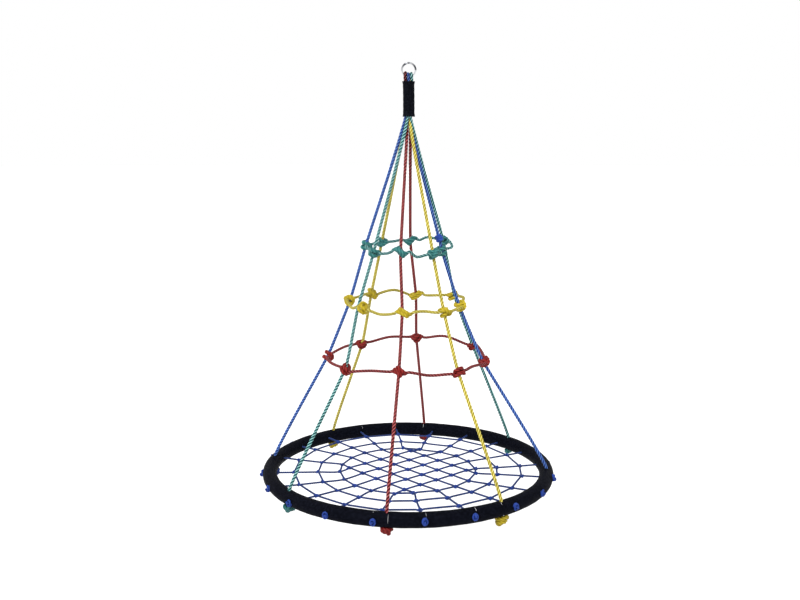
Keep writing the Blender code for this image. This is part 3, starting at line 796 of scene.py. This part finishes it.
def build_legs():
    """Each leg runs from inside the sleeve through its three knots and down into the padded frame."""
    made = []
    for leg, (place, colour, (mouth_x, mouth_y)) in enumerate(LEGS):
        azimuth = leg_azimuth(leg)
        points = [(mouth_x / 1000, mouth_y / 1000, z) for z in (LEG_TOP, LEG_MIDDLE, SLEEVE_BOTTOM)]
        for centre, down in knot_axes(leg):
            points += [centre - down * KNOT_REACH, centre + down * KNOT_REACH]
        points += [around(FRAME_RADIUS - inset, azimuth, FRAME_Z + height) for inset, height
                   in ((LEG_LANDING[0] / 2, COVER_RADIUS + 0.001), (0, 0.010), (0, 0.0005))]
        path, length = curve_through(points, LEG_SPACING)
        freed = np.clip((SLEEVE_BOTTOM - path[:, 2]) / LEG_FREED, 0, 1)
        piece = rope_piece("rope_leg_" + place, ROPE_LOOKS[colour], path, length, LEG_CREST, LEG_LAY,
                           phase=0.7 * leg, radii=LEG_DRAWN + (1 - LEG_DRAWN) * freed)
        carry(piece, "rope_cone", "rope_" + colour, "leg_" + place)
        squash_with_legs(piece)
        made.append(piece)
    return made


def hitch_points(centre, up, outward, wrap_distance, facing, mirror, tilt_deg, stretch, aside=0.0):
    """Route of a wrapping rope through its hitch on a core rope that runs along up."""
    out = unit(outward - up * float(np.dot(outward, up)))
    along = np.cross(up, out)
    scale = wrap_distance / HITCH_RADIUS
    local = HITCH * np.array(stretch) * scale
    local[[0, -1]] = HITCH[[0, -1]] * scale
    local[:, 2] *= mirror
    weights = np.ones(len(HITCH))
    weights[:2] = HITCH_END_TURN
    weights[-2:] = HITCH_END_TURN[::-1]
    forward, rise = turned(local[:, 0], local[:, 2], math.radians(tilt_deg) * weights)
    return (centre + (forward[:, None] + aside) * along + facing * local[:, 1:2] * out
            + rise[:, None] * up)


def near_any(path, centres, reach):
    """1 where the path is within reach of one of the centres, fading to 0 a third further off."""
    if not centres:
        return np.zeros(len(path))
    nearest = np.min(np.linalg.norm(path[:, None] - np.array(centres), axis=2), axis=1)
    return np.clip((1.35 * reach - nearest) / (0.35 * reach), 0.0, 1.0)


def build_hoops():
    """Each hoop is one closed rope through its eight hitches, with the short ends beside them."""
    for index, (name, hoop) in enumerate(HOOPS.items()):
        points = []
        centres = []
        for leg in range(LEG_COUNT):
            centre, down = knot_axes(leg)[index]
            outward = around(1, leg_azimuth(leg), 0)
            facing, mirror, tilt, stretch, aside = hoop["hitches"][leg]
            points += list(hitch_points(centre, -down, outward, HITCH_WRAP, facing, mirror, tilt, stretch,
                                        aside / 1000))
            centres.append(centre + aside / 1000 * np.cross(-down, outward))
            following = knot_point(hoop, (leg + 1) % LEG_COUNT)
            middle = (centre + following) / 2
            middle = middle + unit(middle * (1, 1, 0)) * hoop["bulge"][leg] / 1000
            middle[2] -= hoop["sag"][leg] / 1000
            points.append(middle)
        rope = RopeMesh()
        path, length = curve_through(points, HOOP_SPACING, closed=True)
        knotted = near_any(path, centres, HITCH_REACH)
        rope.add(path, length, HOOP_CREST, HOOP_LAY, closed=True, knotted=knotted,
                 radii=1 + HITCH_SWELL * knotted)
        for tail_hoop, leg, offsets in TAILS:
            if tail_hoop == name:
                path, length = curve_through(centres[leg] + np.array(offsets) / 1000, HOOP_SPACING)
                rope.add(path, length, HOOP_CREST, HOOP_LAY, knotted=np.ones(len(path)))
        colour = hoop["colour"]
        piece = rope.build("rope_" + name, HOOP_LOOKS[colour])
        carry(piece, "hoop_" + colour, "rope_" + colour, name)


def build_leg_coil():
    """A few turns of a leg's own colour wound round it above the top hoop."""
    place, colour, (mouth_x, mouth_y) = LEGS[COIL_LEG]
    knot = knot_axes(COIL_LEG)[0][0]
    up = unit(np.array((mouth_x / 1000, mouth_y / 1000, SLEEVE_BOTTOM)) - knot)
    centre = knot + up * COIL_ABOVE
    side = unit(np.cross(up, (0.0, 1.0, 0.0)))
    other = np.cross(up, side)
    points = []
    steps = int(COIL_TURNS * COIL_TURN_STEPS)
    for step in range(steps + 1):
        angle = step / COIL_TURN_STEPS * math.tau
        reach = COIL_RADIUS + COIL_WAVER * math.sin(angle * 0.7)
        points.append(centre + side * reach * math.cos(angle) + other * reach * math.sin(angle)
                      + up * (step / steps - 0.5) * COIL_HEIGHT)
    path, length = curve_through(points, HOOP_SPACING)
    piece = rope_piece("coil_" + place, ROPE_LOOKS[colour], path, length, HOOP_CREST, HOOP_LAY,
                       knotted=np.ones(len(path)))
    carry(piece, "rope_cone", "rope_" + colour)
    squash_with_legs(piece)


# ---------- stopper knots
def stopper_route(base, out, aside, radius, side_stretch, out_stretch, flip=1, turn_deg=0.0, tail=1.0):
    """Straight out of the cover, over the top, and wrapped back round itself, with a short tail."""
    across = np.cross(out, aside)
    points = list(STOPPER_HEAD)
    steps = STOPPER_TURN // STOPPER_TURN_STEP
    for step in range(steps + 1):
        share = step / steps
        angle = math.radians(20 + STOPPER_TURN * share)
        reach = 2.0 + 0.25 * share
        points.append([3.1 - 2.4 * share, reach * math.cos(angle), reach * math.sin(angle)])
    last = np.array(points[-1])
    ahead = last - points[-2]
    for onward, rise in ((0.8, 0.5), (1.7, 1.4)):
        points.append(last + tail * (ahead * onward + (rise, 0, 0)))
    local = np.array(points)
    side, cross = turned(local[:, 1], local[:, 2], math.radians(turn_deg))
    return base + radius * (local[:, :1] * out_stretch * out + side[:, None] * side_stretch * aside
                            + flip * cross[:, None] * across)


STOPPER_SUNK = 0.003  # a stopper is drawn this far up into the cover
STOPPER_REACH = 0.04
STOPPER_SWELL_DEPTH = 0.004  # the rope swells to its knotted size over this depth below the cover

# stretch along the frame, stretch out of it, flip, turn and size of each leg's stopper
LEG_STOPPERS = ((1.25, 0.95, 1, 35, 1.15), (1.05, 1.2, -1, 120, 1.3), (1.05, 0.95, 1, 80, 1.15),
                (1.05, 0.85, -1, 10, 0.95), (1.15, 0.95, 1, 200, 1.15), (1.05, 0.95, -1, 300, 1.25),
                (1.1, 0.95, 1, 250, 1.15), (1.2, 0.95, 1, 160, 1.35))


def build_leg_stoppers():
    for leg, (place, colour, _) in enumerate(LEGS):
        azimuth = leg_azimuth(leg)
        side_stretch, out_stretch, flip, turn, size = LEG_STOPPERS[leg]
        base = around(FRAME_RADIUS, azimuth, FRAME_Z - COVER_RADIUS + STOPPER_SUNK)
        aside = np.cross(UP, around(1, azimuth, 0))
        route = stopper_route(base, -UP, aside, ROPE_RADIUS * size, side_stretch, out_stretch, flip, turn)
        path, length = curve_through(route, STOPPER_SPACING)
        swelling = np.clip((FRAME_Z - COVER_RADIUS - path[:, 2]) / STOPPER_SWELL_DEPTH, 0, 1)
        piece = rope_piece("knot_" + place, SHADED_STOPPER_LOOKS[colour], path, length, LEG_CREST, HOOP_LAY,
                           knotted=near_any(path, [base], STOPPER_REACH), phase=leg,
                           radii=1 + (size - 1) * 0.7 * swelling)
        carry(piece, "seat", "rope_" + colour, "stopper_" + place)


# ---------- net
def net_z(radius):
    return FRAME_Z - NET_SAG * max(0.0, 1 - (radius / INNER_WALL) ** 2)


def radial_azimuth(number, radius):
    start = math.degrees(math.asin(number * NET_STEP / NET_RING_RADII[0]))
    end = number * NET_HOLE_STEP
    share = (radius - NET_RING_RADII[0]) / (INNER_WALL - NET_RING_RADII[0])
    return start + (end - start) * min(1.0, share)


def net_end(azimuth, layer, flip, turn):
    """Stopper knot on a net rope's end, from the inside out, and the point that it starts from. The
    knots beside the frame's widest points are drawn deeper into the cover."""
    from_front = abs((azimuth + 180) % 360 - 180)
    widest = abs(from_front - NET_WIDEST) < 4
    base = around(OUTER_WALL - (0.0080 if widest else 0.0040), azimuth,
                  FRAME_Z + (0.6 if widest else 1.0) * layer)
    route = stopper_route(base, around(1, azimuth, 0), UP, NET_RADIUS * 1.2, 1.34, 0.84, flip, turn, 0.3)
    return route, base


def net_hitch(rng, centre, core, outward, stretch_limits, most_tilt):
    """Hitch of a net rope round another, a little different each time."""
    stretch = [rng.uniform(*limits) for limits in stretch_limits]
    return list(hitch_points(centre, core, outward, NET_WRAP, 1, rng.choice((-1, 1)),
                             rng.uniform(-most_tilt, most_tilt), stretch))


def net_rope(name, path, length, **options):
    piece = rope_piece("rope_" + name, NET_LOOK, path, length, NET_CREST, NET_LAY,
                       strand_points=NET_STRAND_POINTS, groove=NET_GROOVE, **options)
    carry(piece, "seat", "net_rope", name)


def build_net():
    """Five warps, five wefts hitched to them, and three rings hitched to both."""
    rng = np.random.default_rng(11)
    families = (("warp", WARP_AZIMUTH, NET_LAYER), ("weft", WARP_AZIMUTH + 90, -NET_LAYER))
    for family, azimuth, layer in families:
        along = around(1, azimuth, 0)
        across = around(1, azimuth + 90, 0)
        for index, number in enumerate(NET_NUMBERS):
            hitches = []
            grid = []
            for crossing in NET_NUMBERS:
                point = along * (crossing * NET_STEP) + across * (number * NET_STEP)
                level = net_z(math.hypot(*point[:2]))
                if family == "warp":
                    point[2] = level + layer
                    grid.append(point)
                else:
                    centre = np.array((point[0], point[1], level + NET_LAYER))
                    # the core runs across this rope, and the ends lie below it
                    core = np.cross(along, -UP)
                    grid += net_hitch(rng, centre, core, -UP, ((0.92, 1.1), (0.78, 0.9), (0.85, 0.98)), 14)
                    hitches.append(centre)
            sides = []
            stoppers = []
            for sign, start in ((1, azimuth), (-1, azimuth + 180)):
                side = [around(r, start + sign * radial_azimuth(number, r), net_z(r) + layer)
                        for r in (*NET_RING_RADII, INNER_WALL)]
                hole = start + sign * number * NET_HOLE_STEP
                side.append(around(FRAME_RADIUS, hole, FRAME_Z + layer))
                knot, base = net_end(hole, layer, rng.choice((-1, 1)), rng.uniform(0, 360))
                side += list(knot[1:])
                stoppers.append(base)
                sides.append(side)
            path, length = curve_through(sides[1][::-1] + grid + sides[0], NET_SPACING)
            net_rope(f"net_{family}_{index + 1}", path, length, phase=rng.uniform(0, 6),
                     knotted=near_any(path, hitches + stoppers, NET_KNOT_REACH),
                     radii=1 - NET_HITCH_DRAW * near_any(path, hitches, NET_HITCH_REACH))
    build_net_rings(rng)


def build_net_rings(rng):
    for name, radius in zip(("net_ring_inner", "net_ring_middle", "net_ring_outer"), NET_RING_RADII):
        route = []
        hitches = []
        for side in range(4):
            # a ring passes over the wefts and under the warps
            outward, core_layer = (UP, -NET_LAYER) if side % 2 == 1 else (-UP, NET_LAYER)
            for number in NET_NUMBERS:
                azimuth = WARP_AZIMUTH + 90 * side + radial_azimuth(number, radius)
                centre = around(radius, azimuth, net_z(radius) + core_layer)
                core = np.cross(around(1, azimuth + 90, 0), outward)
                route += net_hitch(rng, centre, core, outward, ((1.0, 1.2), (0.74, 0.86), (0.8, 0.95)), 12)
                hitches.append(centre)
        path, length = curve_through(route, NET_SPACING, closed=True)
        knotted = near_any(path, hitches, NET_RING_REACH)
        net_rope(name, path, length, closed=True, knotted=knotted, radii=1 - NET_HITCH_DRAW * knotted)


# ---------- padded frame
def pad_dimples():
    """(azimuth, section angle, depth, width, puckers) of each place where a rope draws the cover in.
    Section angle 0 is the outside of the frame and 90 its top."""
    found = []
    for hole in range(NET_HOLES):
        azimuth = NET_AZIMUTH + hole * NET_HOLE_STEP
        found += [(azimuth, 0.0, 0.0042, 0.0105, 0.00030), (azimuth, 180.0, 0.0030, 0.0060, 0.00030)]
    for azimuth in map(leg_azimuth, range(LEG_COUNT)):
        found += [(azimuth, 90.0, 0.0032, 0.0075, 0.00035), (azimuth, -90.0, 0.0048, 0.0135, 0.00035)]
    return found


def padded_ring(name, inset, material, columns, sections):
    azimuths = np.arange(columns) / columns * 360
    angles = np.arange(sections) / sections * 360
    az, sec = np.meshgrid(azimuths, angles, indexing="ij")
    round_frame = np.radians(az)
    radius = np.full(az.shape, COVER_RADIUS - inset)
    radius += 0.00035 * np.sin(7 * round_frame + 1.0) * np.cos(np.radians(sec) + 0.5)
    radius += 0.00022 * np.sin(23 * round_frame + 2 * np.radians(sec))
    radius += 0.00012 * np.sin(61 * round_frame + 3 * np.radians(sec) + 0.7)
    for azimuth, section, depth, width, pucker in pad_dimples():
        off_az = (az - azimuth + 180) % 360 - 180
        off_sec = (sec - section + 180) % 360 - 180
        du = np.radians(off_az) * (FRAME_RADIUS + COVER_RADIUS * math.cos(math.radians(section)))
        dv = np.radians(off_sec) * COVER_RADIUS
        near = (np.abs(du) < 5 * width) & (np.abs(dv) < 5 * width)
        distance = np.hypot(du, dv)
        fall = np.exp(-(distance / width) ** 2)
        ring = np.exp(-((distance - 1.5 * width) / (0.7 * width)) ** 2)
        folds = np.cos(9 * np.arctan2(dv, du) + azimuth) * ring
        radius += np.where(near, -depth * fall + pucker * folds, 0.0)
    sec_angle = np.radians(sec)
    out = FRAME_RADIUS + radius * np.cos(sec_angle)
    rows = np.stack((out * np.sin(round_frame), -out * np.cos(round_frame),
                     FRAME_Z + radius * np.sin(sec_angle)), axis=2)
    uvs = uv_grid(columns, sections, math.tau * FRAME_RADIUS, math.tau * COVER_RADIUS)
    made = grid_mesh(name, rows, True, True, material, uvs)
    made.data.flip_normals()
    return made


# (azimuth, first and last section angle, half width) of each slit where the foam shows
SLITS = ((-6.7, 60, -8, 0.0004), (6.5, 76, 44, 0.0004), (36.2, 72, 52, 0.0004), (-12.2, 76, 66, 0.0005),
         (25.0, 80, 48, 0.0006), (172.6, 112, 150, 0.0006), (203.0, 116, 142, 0.0004))


SLIT_STEPS = 22  # along a slit
SLIT_COLUMNS = 7  # across it
SLIT_LAYERS = ((0.0006, 1.0, 0.0003), (-0.0035, 0.8, 0.0))  # height over the cover, width, crown


def build_slits():
    """Each slit is a narrow lens of foam standing a hair proud of the cover."""
    for number, (azimuth, first, last, half) in enumerate(SLITS, 1):
        points = np.zeros((2 * SLIT_STEPS, SLIT_COLUMNS, 3))
        for layer, (inset, narrowing, crown) in enumerate(SLIT_LAYERS):
            for i in range(SLIT_STEPS):
                share = i / (SLIT_STEPS - 1)
                section = math.radians(first + (last - first) * share)
                width = half * (math.sin(math.pi * min(max(share, 0.02), 0.98)) ** 0.6)
                row = i if layer == 0 else -1 - i
                for j in range(SLIT_COLUMNS):
                    across = j / (SLIT_COLUMNS - 1) * 2 - 1
                    reach = COVER_RADIUS + inset + crown * (1 - across ** 2)
                    out = FRAME_RADIUS + reach * math.cos(section)
                    angle = azimuth + math.degrees(across * width * narrowing / out)
                    points[row, j] = around(out, angle, FRAME_Z + reach * math.sin(section))
        left, right = ([i * SLIT_COLUMNS + edge for i in range(2 * SLIT_STEPS)]
                       for edge in (0, SLIT_COLUMNS - 1))
        slit = grid_mesh(f"foam_slit_{number}", points, True, False, FOAM_LOOK,
                         more_faces=[left[::-1], right])
        carry(slit, "seat", "foam")


def build_frame():
    for name, inset, look, columns, sections, slot, node in (
            ("padded_cover", 0.0, COVER_LOOK, 900, 48, "cover_fabric", "frame_cover"),
            ("foam_padding", FOAM_INSET, FOAM_LOOK, 360, 32, "foam", "frame_foam")):
        layer = padded_ring(name, inset, look, columns, sections)
        carry(layer, "seat", slot, node)
    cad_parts["frame_tube"].material_slots[0].material = TUBE_LOOK
    build_slits()


# ---------- assembly
build_stage()
build_ring()
bights = build_bights()
legs = build_legs()
build_sleeve()
build_hoops()
build_leg_coil()
build_leg_stoppers()
build_net()
build_frame()
